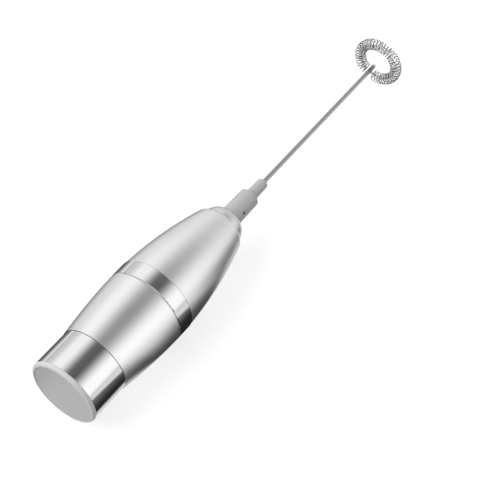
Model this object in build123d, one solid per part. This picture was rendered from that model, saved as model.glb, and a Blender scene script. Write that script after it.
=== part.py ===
from build123d import *
import math
import os

# Handheld battery milk frother, lying on its side. Its axis is +X, from the flat face of the
# end button at x = 0 to the whisk, and +Z is up. All sizes are in millimetres.

# Barrel, from the tail to the nose
RIM_LENGTH = 1.5
COLLAR_LENGTH = 17.65
REAR_LENGTH = 31.25
BAND_LENGTH = 8.1
FRONT_LENGTH = 43.7
BEZEL_LENGTH = 5.8
COLLAR_RADIUS = 15.65
BARREL_RADIUS = 18.4
REAR_CROWN_X = 56.0
REAR_ARC = 270.0
FRONT_CROWN_X = 50.0
FRONT_ARC = 190.0
NOSE_ROUND = 1.8
METAL_EDGE = 0.3
LIP_EDGE = 0.12
COVER_SEAM = 0.15

# Stations that follow from those lengths
COLLAR_X = RIM_LENGTH
REAR_X = COLLAR_X + COLLAR_LENGTH
BAND_X = REAR_X + REAR_LENGTH
FRONT_X = BAND_X + BAND_LENGTH
NOSE_X = FRONT_X + FRONT_LENGTH
BEZEL_X = NOSE_X + BEZEL_LENGTH

# Tail switch
BUTTON_RADIUS = 13.9
BUTTON_ROUND = 0.15
BUTTON_SKIRT = 6.0
BUTTON_WALL = 1.4
BUTTON_FLOOR = 2.0
BUTTON_TRAVEL = 1.5
COLLAR_MOUTH = 15.35
RIM_BORE = 14.0
RIM_EDGE = 0.12
RIM_ROUND = 1.45
RIM_SPIGOT = 15.3
RIM_END = 6.0
STEM_RADIUS = 3.0
STEM_GUIDE = 3.2
GROOVE_RADIUS = 2.2
PARTITION_X = 7.5
PARTITION_END = 9.0
CLIP_GAP = 0.05
CLIP_RADIUS = 4.6
CLIP_THICKNESS = 0.6
BRIDGE_X = 10.4
BRIDGE_SPAN = 24.0
BRIDGE_WIDTH = 8.0
BRIDGE_STUD = 1.6
STUD_END = 11.2
SHEET = 0.4
DIMPLE_RADIUS = 1.6
DIMPLE_PROUD = 0.8
BUTTON_SPRING_RADIUS = 5.2
BUTTON_SPRING_WIRE = 0.6
BUTTON_SPRING_TURNS = 2

# Battery cells, the cover's spigot and the chassis
CELL_RADIUS = 7.05
CELL_LENGTH = 50.5
CELL_NUB_RADIUS = 2.75
CELL_NUB = 1.0
CELL_EDGE = 0.5
CELL_OFFSET = 7.25
CELL_ROOM = 7.35
SWITCH_GAP = 0.1
CELL_X = BRIDGE_X + SHEET + DIMPLE_PROUD + BUTTON_TRAVEL + SWITCH_GAP
CELL_END = CELL_X + CELL_LENGTH
COVER_INNER = 14.6
COLLAR_SPIGOT = 15.08
COLLAR_SPIGOT_END = 26.0
REAR_BORE = 15.1
COVER_BORE = 16.95
COVER_BORE_X = 42.0
SPIGOT_RADIUS = 16.8
SPIGOT_X = 43.0
SEAL_X = 46.4
SEAL_WIRE = 0.55
SEAL_GROOVE = 15.75
SEAL_GROOVE_WIDTH = 1.4
RIB_X = 15.5
RIB_WIDTH = 8.0
RIB_TOP = 13.7
RIB_LOW = 2.6
RIB_BITE = 1.0
BULKHEAD_X = 66.6
BULKHEAD_END = 68.0
CONTACT_SIZE = 8.0
CONTACT_SEAT_RADIUS = 3.0
TAIL_WIDTH = 2.4
TAIL_OFFSET = 6.2
TAIL_END = 70.6
BATTERY_SPRING_WIRE = 0.5
BATTERY_SPRING_WIDE = 4.8
BATTERY_SPRING_NARROW = 2.0
BATTERY_SPRING_TURNS = 2
SCREW_RADIUS = 0.9
SCREW_HEAD_RADIUS = 1.8
SCREW_HEAD = 1.3
SCREW_SLOT = 0.5
CHASSIS_SCREW_OFFSET = 13.3
CHASSIS_SCREW_X = 61.0

# Motor and its cup
MOTOR_RADIUS = 10.2
MOTOR_WALL = 0.7
MOTOR_X = 72.0
MOTOR_FACE = 92.4
MOTOR_BOSS_RADIUS = 3.1
MOTOR_BOSS_END = 94.3
BEARING_RADIUS = 2.2
SHAFT_RADIUS = 1.0
SHAFT_PLAY = 0.03
SHAFT_X = 70.6
SHAFT_END = 100.0
END_CAP_X = 72.2
END_CAP_END = 74.4
END_CAP_HUB_RADIUS = 3.4
END_CAP_HUB_X = 70.8
COMMUTATOR_X = 75.6
COMMUTATOR_END = 78.0
COMMUTATOR_RADIUS = 2.2
COMMUTATOR_SLIT = 0.3
BRUSH_GAP = 0.15
BRUSH_WIDTH = 2.0
BRUSH_END = 77.6
TERMINAL_OFFSET = 5.2
TERMINAL_WIDTH = 2.4
TERMINAL_X = 69.2
STACK_X = 80.0
STACK_END = 88.0
POLES = 3
POLE_RADIUS = 7.4
POLE_SHOE = 6.0
POLE_SPAN = 100.0
NECK_WIDTH = 2.2
NECK_BITE = 0.5
ARMATURE_HUB = 2.6
WINDING_LOW = 3.0
WINDING_HIGH = 5.3
WINDING_WIDTH = 5.0
WINDING_OVERHANG = 1.4
MAGNET_X = 79.0
MAGNET_END = 89.5
MAGNET_INNER = 7.9
MAGNET_GAP = 8.0
CUP_RADIUS = 11.4
CUP_BORE = 10.25
CUP_END = 93.8
CUP_FLANGE = 15.2
CUP_FLANGE_END = 70.0
MOTOR_SCREW_OFFSET = 6.0
MOTOR_SCREW_X = 91.0
LEAD_RADIUS = 0.5
LEAD_X = 69.8
LEAD_RISE = 7.4
LEAD_BEND = 1.0

# Front shell, bezel and drive
FRONT_BORE_END = 70.0
FRONT_WALL = 1.4
NOSE_OPENING = 8.4
NOSE_LEDGE = 2.6
BEZEL_RADIUS = 9.35
BEZEL_CROWN_X = 103.3
BEZEL_SHOULDER = (106.2, 8.4)
BEZEL_TIP_RADIUS = 6.7
BUSH_RADIUS = 4.0
BUSH_X = 100.0
BUSH_END = 106.4
SEAL_RING_END = 107.7
SPINDLE_RADIUS = 2.4
SPINDLE_PLAY = 0.05
SPINDLE_X = 95.5
SPINDLE_END = 118.6
SPINDLE_EDGE = 0.4
PIN_X = 112.0
PIN_RADIUS = 0.75
PIN_LENGTH = 7.4
PIN_ANGLE = 157.0

# Whisk: coupling, wire and coil
COUPLING_GAP = 0.4
COUPLING_BIG = (4.87, 4.57)
COUPLING_SMALL = (2.75, 2.5)
COUPLING_BIG_LENGTH = 15.25
COUPLING_SMALL_LENGTH = 10.05
COUPLING_ROUND = 0.6
SOCKET_END = 119.0
KEYWAY_WIDTH = 1.8
KEYWAY_REACH = 3.9
KEYWAY_END = 113.2
DRAIN_X = 113.5
DRAIN_RADIUS = 0.8
WIRE_RADIUS = 1.0
WIRE_X = 121.5
SPOKE_X = 223.8
SPOKE_ANGLE = 297.0
SPOKE_BEND = 1.8
RIM_BEND = 2.2
RING_X = 227.0
RING_RADIUS = 9.72
RING_START = 14.0
RING_END = 350.5
COIL_START = 13.5
COIL_END = 349.0
COIL_TURNS = 39
COIL_WIRE = 0.48
COIL_RADIUS = 2.45
COIL_LEG_BEND = 0.65
COIL_LEG_PHASE = 20.0
COIL_LEG_BITE = 0.05

COUPLING_X = BEZEL_X + COUPLING_GAP
COUPLING_STEP = COUPLING_X + COUPLING_BIG_LENGTH
COUPLING_END = COUPLING_STEP + COUPLING_SMALL_LENGTH


def profile(*lines):
    """Face inside the lines of a closed outline, in x and radius."""
    return make_face([edge for line in lines for edge in line.edges()])


def turned(*lines):
    """Solid of revolution about the X axis from the lines of a closed outline."""
    return revolve(profile(*lines), Axis.X)


def lathe(*points):
    """Solid of revolution about the X axis from the corners of a closed outline."""
    return turned(Polyline(*points, close=True))


def rod(start, end, radius):
    """Round bar along the axis."""
    bar = Cylinder(radius, end - start, align=(Align.CENTER, Align.CENTER, Align.MIN))
    return Pos(start, 0, 0) * Rot(0, 90, 0) * bar


def tube(start, end, inner, outer):
    """Round tube along the axis."""
    return rod(start, end, outer) - rod(start, end, inner)


def block(low, high):
    """Box between two corners."""
    sides = [b - a for a, b in zip(low, high)]
    middle = [(a + b) / 2 for a, b in zip(low, high)]
    return Pos(*middle) * Box(*sides)


def around(shape, count):
    """Copies of a shape, evenly spaced about the axis."""
    return [Rot(360 * i / count, 0, 0) * shape for i in range(count)]


def both_sides(shape):
    """A shape and its copy half a turn round the axis."""
    return around(shape, 2)


def barrel_arc(start, end, crown_x, arc, inset=0.0):
    """The barrel's outer edge between two stations, as one arc."""
    stations = (start, (start + end) / 2, end)
    rise = [math.sqrt(arc**2 - (x - crown_x) ** 2) - arc for x in stations]
    return ThreePointArc(*[(x, BARREL_RADIUS + r - inset) for x, r in zip(stations, rise)])


def biarc(start, start_way, end, end_way):
    """Two tangent arcs that leave start and reach end along the given directions."""
    span = end - start
    bend = 2 * (1 - start_way.dot(end_way))
    along = 2 * span.dot(start_way + end_way)
    reach = (math.sqrt(along**2 + 4 * bend * span.dot(span)) - along) / (2 * bend)
    first = start + start_way * reach
    last = end - end_way * reach
    middle = (first + last) / 2
    return [
        Edge.make_tangent_arc(start, start_way, middle),
        Edge.make_tangent_arc(middle, last - first, end),
    ]


def wire_along(edges, radius):
    """Round wire swept along a path of straight runs and tangent arcs."""
    path = Wire(edges)
    section = Plane(path @ 0, z_dir=path % 0) * Circle(radius)
    return sweep(section, path=path)


def least_gap(edges, diameter, samples=20):
    """Smallest gap of a wound wire to its next turns, from points along its path."""
    points = [tuple(edge @ (i / samples)) for edge in edges for i in range(samples)]
    run = [0.0]
    for a, b in zip(points, points[1:]):
        run.append(run[-1] + math.dist(a, b))
    apart = 4 * diameter
    window = 12 * samples
    nearest = min(
        math.dist(points[i], points[j])
        for i in range(len(points))
        for j in range(i + 1, min(i + window, len(points)))
        if run[j] - run[i] > apart
    )
    return nearest - diameter


def helix(start, end, start_radius, end_radius, turns, wire):
    """Path of a spring about the X axis, half a turn at a time, with legs along X at its ends."""
    leg = Vector(wire, 0, 0)
    side = Vector(0, 0, wire)

    def point(share):
        angle = 2 * math.pi * turns * share
        radius = start_radius + (end_radius - start_radius) * share
        x = start + 2 * wire + (end - start - 4 * wire) * share
        return Vector(x, radius * math.cos(angle), radius * math.sin(angle))

    def way(share):
        step = 1e-4
        return (point(share + step) - point(share - step)).normalized()

    foot = point(0) - leg - side
    edges = [Edge.make_line(foot - leg, foot)]
    edges += biarc(foot, leg.normalized(), point(0), way(0))
    halves = 2 * turns
    for i in range(halves):
        a, b = i / halves, (i + 1) / halves
        edges += biarc(point(a), way(a), point(b), way(b))
    head = point(1) + leg + side
    edges += biarc(point(1), way(1), head, leg.normalized())
    edges.append(Edge.make_line(head, head + leg))
    return edges


def end_button():
    """Moulded push button: rounded face, skirt, and a stem with the clip's groove and a stud."""
    cap = [(BUTTON_FLOOR, 0), (0, 0), (0, BUTTON_RADIUS), (BUTTON_SKIRT, BUTTON_RADIUS)]
    face = FilletPolyline(*cap, radius=(0, BUTTON_ROUND))
    inner = BUTTON_RADIUS - BUTTON_WALL
    back = Polyline(cap[-1], (BUTTON_SKIRT, inner), (BUTTON_FLOOR, inner), cap[0])
    stem = rod(BUTTON_FLOOR, BRIDGE_X, STEM_RADIUS)
    clip_x = PARTITION_END + CLIP_GAP
    groove = tube(clip_x, clip_x + CLIP_THICKNESS, GROOVE_RADIUS, STEM_RADIUS)
    return turned(face, back) + stem - groove + rod(BRIDGE_X, STUD_END, BRIDGE_STUD)


def end_rim():
    """Moulded rim round the button, flush with the collar, on a spigot in the collar's mouth."""
    crest = [(RIM_END, RIM_BORE), (0, RIM_BORE), (0, COLLAR_RADIUS), (COLLAR_X, COLLAR_RADIUS)]
    front = FilletPolyline(*crest, radius=(RIM_EDGE, RIM_ROUND))
    back = Polyline(crest[-1], (COLLAR_X, RIM_SPIGOT), (RIM_END, RIM_SPIGOT), crest[0])
    return turned(front, back)


def button_clip():
    """Open retaining clip in the stem's groove, behind the collar's partition."""
    start = PARTITION_END + CLIP_GAP
    ring = tube(start, start + CLIP_THICKNESS, GROOVE_RADIUS, CLIP_RADIUS)
    mouth = block((start, -GROOVE_RADIUS, 0), (start + CLIP_THICKNESS, GROOVE_RADIUS, CLIP_RADIUS))
    return ring - mouth


def bridge_contact():
    """Switch plate on the button's stud, with a dimple opposite each cell."""
    outline = SlotOverall(BRIDGE_SPAN, BRIDGE_WIDTH) - Circle(BRIDGE_STUD)
    plate = extrude(Plane((BRIDGE_X, 0, 0), x_dir=(0, 1, 0), z_dir=(1, 0, 0)) * outline, SHEET)
    for side in (-1, 1):
        pip = lathe(
            (BRIDGE_X + SHEET / 2, 0),
            (BRIDGE_X + SHEET + DIMPLE_PROUD, 0),
            (BRIDGE_X + SHEET + DIMPLE_PROUD, DIMPLE_RADIUS / 2),
            (BRIDGE_X + SHEET / 2, DIMPLE_RADIUS),
        )
        plate += Pos(0, side * CELL_OFFSET, 0) * pip
    return plate


def button_spring():
    """Return spring between the button's floor and the partition."""
    radius = BUTTON_SPRING_RADIUS
    wire = BUTTON_SPRING_WIRE
    path = helix(BUTTON_FLOOR, PARTITION_X, radius, radius, BUTTON_SPRING_TURNS, wire)
    print("button spring least gap", round(least_gap(path, wire), 3))
    return wire_along(path, wire / 2)


def end_collar():
    """Chromed tail collar with the rim's mouth, the partition and the rear shell's spigot."""
    return lathe(
        (COLLAR_X, COLLAR_MOUTH),
        (COLLAR_X, COLLAR_RADIUS - LIP_EDGE),
        (COLLAR_X + LIP_EDGE, COLLAR_RADIUS),
        (REAR_X - METAL_EDGE, COLLAR_RADIUS),
        (REAR_X, COLLAR_RADIUS - METAL_EDGE),
        (REAR_X, COLLAR_SPIGOT),
        (COLLAR_SPIGOT_END, COLLAR_SPIGOT),
        (COLLAR_SPIGOT_END, COVER_INNER),
        (PARTITION_END, COVER_INNER),
        (PARTITION_END, STEM_GUIDE),
        (PARTITION_X, STEM_GUIDE),
        (PARTITION_X, COLLAR_MOUTH),
    )


def rear_shell():
    """Satin sleeve of the battery cover, from the collar to the band."""
    end = BAND_X - COVER_SEAM
    outer = barrel_arc(REAR_X + METAL_EDGE, end - METAL_EDGE, REAR_CROWN_X, REAR_ARC)
    start_edge, end_edge = outer @ 0, outer @ 1
    inner = Polyline(
        (end_edge.X, end_edge.Y),
        (end, end_edge.Y - METAL_EDGE),
        (end, COVER_BORE),
        (COVER_BORE_X, COVER_BORE),
        (COLLAR_SPIGOT_END, REAR_BORE),
        (REAR_X, REAR_BORE),
        (REAR_X, start_edge.Y - METAL_EDGE),
        (start_edge.X, start_edge.Y),
    )
    return turned(outer, inner)


def battery_cell():
    """One cell along the axis, its flat end at the tail."""
    shoulder = CELL_END - CELL_NUB
    return lathe(
        (CELL_X, 0),
        (CELL_X, CELL_RADIUS - CELL_EDGE),
        (CELL_X + CELL_EDGE, CELL_RADIUS),
        (shoulder - CELL_EDGE, CELL_RADIUS),
        (shoulder, CELL_RADIUS - CELL_EDGE),
        (shoulder, CELL_NUB_RADIUS),
        (CELL_END, CELL_NUB_RADIUS),
        (CELL_END, 0),
    )


def battery_left():
    """Cell with its button towards the motor."""
    return Pos(0, CELL_OFFSET, 0) * battery_cell()


def battery_right():
    """Cell with its button towards the tail."""
    turned_round = Pos(CELL_X + CELL_END, 0, 0) * Rot(0, 180, 0) * battery_cell()
    return Pos(0, -CELL_OFFSET, 0) * turned_round


def chassis_screw_holes():
    """The two screws' bores, for the chassis and the cup."""
    bore = rod(CHASSIS_SCREW_X, CUP_FLANGE_END, SCREW_RADIUS)
    return both_sides(Pos(0, 0, CHASSIS_SCREW_OFFSET) * bore)


def battery_chassis():
    """Moulded frame: spigot ring with the seal's groove, bulkhead, and two ribs between the cells."""
    chassis = tube(SPIGOT_X, BULKHEAD_X, COVER_INNER, SPIGOT_RADIUS)
    chassis += rod(BULKHEAD_X, BULKHEAD_END, SPIGOT_RADIUS)
    half = RIB_WIDTH / 2
    rib = block((RIB_X, -half, RIB_LOW), (BULKHEAD_X, half, RIB_TOP))
    rib += block((SPIGOT_X, -half, RIB_TOP), (BULKHEAD_X, half, COVER_INNER + RIB_BITE))
    for side in (-1, 1):
        rib -= Pos(0, side * CELL_OFFSET, 0) * rod(RIB_X, BULKHEAD_X, CELL_ROOM)
    chassis += both_sides(rib)
    seat = rod(CELL_END + SHEET, BULKHEAD_X, CONTACT_SEAT_RADIUS)
    chassis += Pos(0, CELL_OFFSET, 0) * seat
    groove_x = SEAL_X - SEAL_GROOVE_WIDTH / 2
    chassis -= tube(groove_x, groove_x + SEAL_GROOVE_WIDTH, SEAL_GROOVE, SPIGOT_RADIUS)
    chassis -= chassis_screw_holes()
    return chassis - both_sides(contact_tail(BULKHEAD_X))


def contact_tail(start):
    """Strip of a battery contact that runs through the bulkhead to the motor side."""
    half = TAIL_WIDTH / 2
    top = CONTACT_SIZE / 2
    return block((start, TAIL_OFFSET - half, top - SHEET), (TAIL_END, TAIL_OFFSET + half, top))


def contact_plate(start):
    """Square battery contact with its tail."""
    half = CONTACT_SIZE / 2
    plate = block((start, CELL_OFFSET - half, -half), (start + SHEET, CELL_OFFSET + half, half))
    return plate + contact_tail(start)


def positive_contact():
    """Contact at the left cell's button."""
    return contact_plate(CELL_END)


def negative_contact():
    """Contact that carries the spring at the right cell's flat end."""
    return Rot(180, 0, 0) * contact_plate(BULKHEAD_X - SHEET)


def battery_spring():
    """Conical spring between the right cell and its contact."""
    wire = BATTERY_SPRING_WIRE
    end = BULKHEAD_X - SHEET
    path = helix(
        CELL_END, end, BATTERY_SPRING_NARROW, BATTERY_SPRING_WIDE, BATTERY_SPRING_TURNS, wire
    )
    print("battery spring least gap", round(least_gap(path, wire), 3))
    return Pos(0, -CELL_OFFSET, 0) * wire_along(path, wire / 2)


def cover_seal():
    """O-ring in the spigot's groove."""
    ring = Torus(SEAL_GROOVE + SEAL_WIRE, SEAL_WIRE)
    return Pos(SEAL_X, 0, 0) * Rot(0, 90, 0) * ring


def mid_band():
    """Chromed band on the spigot, between the two shells."""
    outer = barrel_arc(BAND_X + METAL_EDGE, FRONT_X - METAL_EDGE, REAR_CROWN_X, REAR_ARC)
    start_edge, end_edge = outer @ 0, outer @ 1
    inner = Polyline(
        (end_edge.X, end_edge.Y),
        (FRONT_X, end_edge.Y - METAL_EDGE),
        (FRONT_X, SPIGOT_RADIUS),
        (BAND_X, SPIGOT_RADIUS),
        (BAND_X, start_edge.Y - METAL_EDGE),
        (start_edge.X, start_edge.Y),
    )
    return turned(outer, inner)


def front_shell():
    """Satin front half of the barrel, with a rounded nose and the bezel's opening."""
    outer = barrel_arc(FRONT_X + METAL_EDGE, NOSE_X, FRONT_CROWN_X, FRONT_ARC)
    ledge_x = NOSE_X - NOSE_LEDGE
    inner = barrel_arc(FRONT_BORE_END, ledge_x, FRONT_CROWN_X, FRONT_ARC, FRONT_WALL)
    start_edge, nose_edge = outer @ 0, outer @ 1
    inner_start, inner_end = inner @ 0, inner @ 1
    front = Polyline(
        (nose_edge.X, nose_edge.Y),
        (NOSE_X, NOSE_OPENING),
        (ledge_x, NOSE_OPENING),
        (inner_end.X, inner_end.Y),
    )
    rear = Polyline(
        (inner_start.X, inner_start.Y),
        (BULKHEAD_END, inner_start.Y),
        (BULKHEAD_END, SPIGOT_RADIUS),
        (FRONT_X, SPIGOT_RADIUS),
        (FRONT_X, start_edge.Y - METAL_EDGE),
        (start_edge.X, start_edge.Y),
    )
    outline = profile(outer, front, inner, rear)
    corner = outline.vertices().group_by(Axis.X)[-1].sort_by(Axis.Y)[-1]
    return revolve(fillet(corner, NOSE_ROUND), Axis.X)


def nose_bezel():
    """Small domed bezel in the nose, with the bush's bore."""
    spigot_x = NOSE_X - NOSE_LEDGE
    dome = ThreePointArc((BEZEL_CROWN_X, BEZEL_RADIUS), BEZEL_SHOULDER, (BEZEL_X, BEZEL_TIP_RADIUS))
    rest = Polyline(
        (BEZEL_X, BEZEL_TIP_RADIUS),
        (BEZEL_X, BUSH_RADIUS),
        (spigot_x, BUSH_RADIUS),
        (spigot_x, NOSE_OPENING),
        (NOSE_X, NOSE_OPENING),
        (NOSE_X, BEZEL_RADIUS),
        (BEZEL_CROWN_X, BEZEL_RADIUS),
    )
    return turned(dome, rest)


def nose_bush():
    """Spindle bearing in the bezel."""
    return tube(BUSH_X, BUSH_END, SPINDLE_RADIUS + SPINDLE_PLAY, BUSH_RADIUS)


def shaft_seal():
    """Splash seal in front of the bush."""
    return tube(BUSH_END, SEAL_RING_END, SPINDLE_RADIUS + 2 * SPINDLE_PLAY, BUSH_RADIUS)


def screw(start, seat):
    """Slotted screw along the axis, its head in front of the seat."""
    end = seat + SCREW_HEAD
    half = SCREW_SLOT / 2
    slot = block((end - SCREW_SLOT, -SCREW_HEAD_RADIUS, -half), (end, SCREW_HEAD_RADIUS, half))
    return rod(start, seat, SCREW_RADIUS) + rod(seat, end, SCREW_HEAD_RADIUS) - slot


def chassis_screws():
    """Two screws that hold the motor cup to the chassis."""
    return both_sides(Pos(0, 0, CHASSIS_SCREW_OFFSET) * screw(CHASSIS_SCREW_X, CUP_FLANGE_END))


def motor_screws():
    """Two screws through the cup's face into the motor."""
    return both_sides(Pos(0, MOTOR_SCREW_OFFSET, 0) * screw(MOTOR_SCREW_X, CUP_END))


def motor_screw_holes():
    """The bores of the motor's face screws."""
    return both_sides(Pos(0, MOTOR_SCREW_OFFSET, 0) * rod(MOTOR_SCREW_X, CUP_END, SCREW_RADIUS))


def motor_cup():
    """Flanged cup that carries the motor behind the nose."""
    cup = tube(BULKHEAD_END, CUP_FLANGE_END, CUP_BORE, CUP_FLANGE)
    cup += tube(CUP_FLANGE_END, MOTOR_FACE, CUP_BORE, CUP_RADIUS)
    cup += tube(MOTOR_FACE, CUP_END, MOTOR_BOSS_RADIUS, CUP_RADIUS)
    return cup - chassis_screw_holes() - motor_screw_holes()


def motor_can():
    """Drawn steel can with a bearing boss on its face."""
    can = rod(MOTOR_X, MOTOR_FACE, MOTOR_RADIUS)
    can -= rod(MOTOR_X, MOTOR_FACE - MOTOR_WALL, MOTOR_RADIUS - MOTOR_WALL)
    can += rod(MOTOR_FACE - MOTOR_WALL, MOTOR_BOSS_END, MOTOR_BOSS_RADIUS)
    can -= rod(MOTOR_FACE - MOTOR_WALL, MOTOR_BOSS_END, BEARING_RADIUS)
    return can - motor_screw_holes()


def motor_end_cap():
    """Moulded end cap that closes the can and holds the rear bearing and the terminals."""
    cap = rod(END_CAP_X, END_CAP_END, MOTOR_RADIUS - MOTOR_WALL)
    cap += rod(END_CAP_HUB_X, END_CAP_X, END_CAP_HUB_RADIUS)
    cap -= rod(END_CAP_HUB_X, END_CAP_END, BEARING_RADIUS)
    return cap - motor_terminals()


def motor_terminals():
    """Two tags through the end cap."""
    half = TERMINAL_WIDTH / 2
    top = TERMINAL_OFFSET + SHEET / 2
    tag = block((TERMINAL_X, -half, top - SHEET), (END_CAP_END, half, top))
    return both_sides(tag)


def motor_brushes():
    """Two leaf brushes from the end cap to the commutator."""
    half = BRUSH_WIDTH / 2
    low = COMMUTATOR_RADIUS + BRUSH_GAP
    return both_sides(block((END_CAP_END, -half, low), (BRUSH_END, half, low + SHEET)))


def motor_magnets():
    """Two arc magnets inside the can."""
    ring = tube(MAGNET_X, MAGNET_END, MAGNET_INNER, MOTOR_RADIUS - MOTOR_WALL)
    half = MAGNET_GAP / 2
    return ring - block((MAGNET_X, -MOTOR_RADIUS, -half), (MAGNET_END, MOTOR_RADIUS, half))


def front_bearing():
    """Bush in the can's boss."""
    start = MOTOR_FACE - MOTOR_WALL
    return tube(start, MOTOR_BOSS_END, SHAFT_RADIUS + SHAFT_PLAY, BEARING_RADIUS)


def rear_bearing():
    """Bush in the end cap."""
    return tube(END_CAP_HUB_X, END_CAP_END, SHAFT_RADIUS + SHAFT_PLAY, BEARING_RADIUS)


def motor_shaft():
    """Steel shaft through the motor."""
    return rod(SHAFT_X, SHAFT_END, SHAFT_RADIUS)


def commutator():
    """Split copper drum on the shaft."""
    drum = tube(COMMUTATOR_X, COMMUTATOR_END, SHAFT_RADIUS, COMMUTATOR_RADIUS)
    half = COMMUTATOR_SLIT / 2
    middle = (SHAFT_RADIUS + COMMUTATOR_RADIUS) / 2
    slit = block((COMMUTATOR_X, -half, middle), (COMMUTATOR_END, half, COMMUTATOR_RADIUS))
    return drum - around(slit, POLES)


def pole_neck(low, high, width, start, end):
    """Radial bar of one armature pole."""
    return block((start, -width / 2, low), (end, width / 2, high))


def armature():
    """Laminated stack with three poles."""
    stack = rod(STACK_X, STACK_END, ARMATURE_HUB)
    stack += around(pole_neck(0, POLE_SHOE + NECK_BITE, NECK_WIDTH, STACK_X, STACK_END), POLES)
    shoes = tube(STACK_X, STACK_END, POLE_SHOE, POLE_RADIUS)
    half = POLE_RADIUS * math.radians(360 / POLES - POLE_SPAN) / 2
    gap = block((STACK_X, -half, -POLE_RADIUS), (STACK_END, half, 0))
    stack += shoes - around(gap, POLES)
    return stack - rod(STACK_X, STACK_END, SHAFT_RADIUS)


def armature_windings():
    """Three copper coils round the pole necks."""
    start, end = STACK_X - WINDING_OVERHANG, STACK_END + WINDING_OVERHANG
    coil = pole_neck(WINDING_LOW, WINDING_HIGH, WINDING_WIDTH, start, end)
    coil = fillet(coil.edges().filter_by(Axis.Z), WINDING_OVERHANG / 2)
    coil -= pole_neck(0, POLE_RADIUS, NECK_WIDTH, STACK_X, STACK_END)
    return around(coil, POLES)


def lead():
    """Insulated lead from a contact's tail to a motor terminal."""
    path = FilletPolyline(
        (LEAD_X, TAIL_OFFSET, CONTACT_SIZE / 2),
        (LEAD_X, TAIL_OFFSET, LEAD_RISE),
        (LEAD_X, 0, LEAD_RISE),
        (LEAD_X, 0, TERMINAL_OFFSET + SHEET / 2),
        radius=LEAD_BEND,
    )
    return wire_along(path.edges(), LEAD_RADIUS)


def lead_positive():
    """Lead at the left cell's contact."""
    return lead()


def lead_negative():
    """Lead at the right cell's contact."""
    return Rot(180, 0, 0) * lead()


def cross_bar(x, radius, length):
    """Round bar across the axis, in the pin's direction."""
    bar = Pos(x, 0, 0) * Rot(-90, 0, 0) * Cylinder(radius, length)
    return Rot(PIN_ANGLE, 0, 0) * bar


def drive_spindle():
    """Spindle on the motor shaft, which carries the whisk's coupling."""
    spindle = lathe(
        (SPINDLE_X, 0),
        (SPINDLE_X, SPINDLE_RADIUS),
        (SPINDLE_END - SPINDLE_EDGE, SPINDLE_RADIUS),
        (SPINDLE_END, SPINDLE_RADIUS - SPINDLE_EDGE),
        (SPINDLE_END, 0),
    )
    return spindle - rod(SPINDLE_X, SHAFT_END, SHAFT_RADIUS) - drive_pin()


def drive_pin():
    """Cross pin that turns the coupling."""
    return cross_bar(PIN_X, PIN_RADIUS, PIN_LENGTH)


def whisk_coupling():
    """Moulded two-step coupling: spindle socket, keyways for the pin, drain holes and the wire's bore."""
    corners = [
        (COUPLING_X, 0),
        (COUPLING_X, COUPLING_BIG[0]),
        (COUPLING_STEP, COUPLING_BIG[1]),
        (COUPLING_STEP, COUPLING_SMALL[0]),
        (COUPLING_END, COUPLING_SMALL[1]),
        (COUPLING_END, 0),
    ]
    rounds = (COUPLING_ROUND / 2, COUPLING_ROUND, COUPLING_ROUND / 2, COUPLING_ROUND)
    outline = FilletPolyline(*corners, radius=rounds)
    body = turned(outline, Line(corners[-1], corners[0]))
    body -= rod(COUPLING_X, SOCKET_END, SPINDLE_RADIUS + SPINDLE_PLAY)
    body -= rod(WIRE_X, COUPLING_END, WIRE_RADIUS)
    half = KEYWAY_WIDTH / 2
    keyways = block((COUPLING_X, -KEYWAY_REACH, -half), (KEYWAY_END, KEYWAY_REACH, half))
    body -= Rot(PIN_ANGLE, 0, 0) * keyways
    return body - cross_bar(DRAIN_X, DRAIN_RADIUS, 2 * COUPLING_BIG[0])


def ring_way(turn):
    """Outward direction from the axis to the wire ring, at an angle from the spoke."""
    angle = math.radians(SPOKE_ANGLE - turn)
    return Vector(0, math.cos(angle), math.sin(angle))


def ring_point(turn):
    """Point on the wire ring's centre line."""
    return Vector(RING_X, 0, 0) + ring_way(turn) * RING_RADIUS


def ring_tangent(turn):
    """Direction of the wire ring's centre line."""
    return ring_way(turn + 90)


def whisk_wire():
    """One bent wire: shaft in the coupling, slanting spoke, and the ring."""
    axial = Vector(1, 0, 0)
    hub = Vector(SPOKE_X, 0, 0)
    rim = ring_point(0)
    spoke = (rim - hub).normalized()
    bend_start, bend_end = hub - axial * SPOKE_BEND, hub + spoke * SPOKE_BEND
    spoke_end = rim - spoke * RIM_BEND
    edges = [Edge.make_line(Vector(WIRE_X, 0, 0), bend_start)]
    edges.append(Edge.make_tangent_arc(bend_start, axial, bend_end))
    edges.append(Edge.make_line(bend_end, spoke_end))
    edges += biarc(spoke_end, spoke, ring_point(RING_START), ring_tangent(RING_START))
    halfway = (RING_START + RING_END) / 2
    for start, end in ((RING_START, halfway), (halfway, RING_END)):
        middle = ring_point((start + end) / 2)
        edges.append(Edge.make_three_point_arc(ring_point(start), middle, ring_point(end)))
    return wire_along(edges, WIRE_RADIUS)


def coil_way(turn, phase):
    """Direction from the ring's centre line to the coil, at an angle of the coil's winding."""
    angle = math.radians(phase)
    return ring_way(turn) * math.cos(angle) + Vector(math.sin(angle), 0, 0)


def coil_point(share):
    """Point on the coil's centre line, from its start at 0 to its end at 1."""
    turn = COIL_START + (COIL_END - COIL_START) * share
    return ring_point(turn) + coil_way(turn, 360 * COIL_TURNS * share) * COIL_RADIUS


def coil_tangent(share):
    """Direction of the coil's centre line."""
    step = 1e-6
    return (coil_point(share + step) - coil_point(share - step)).normalized()


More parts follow.
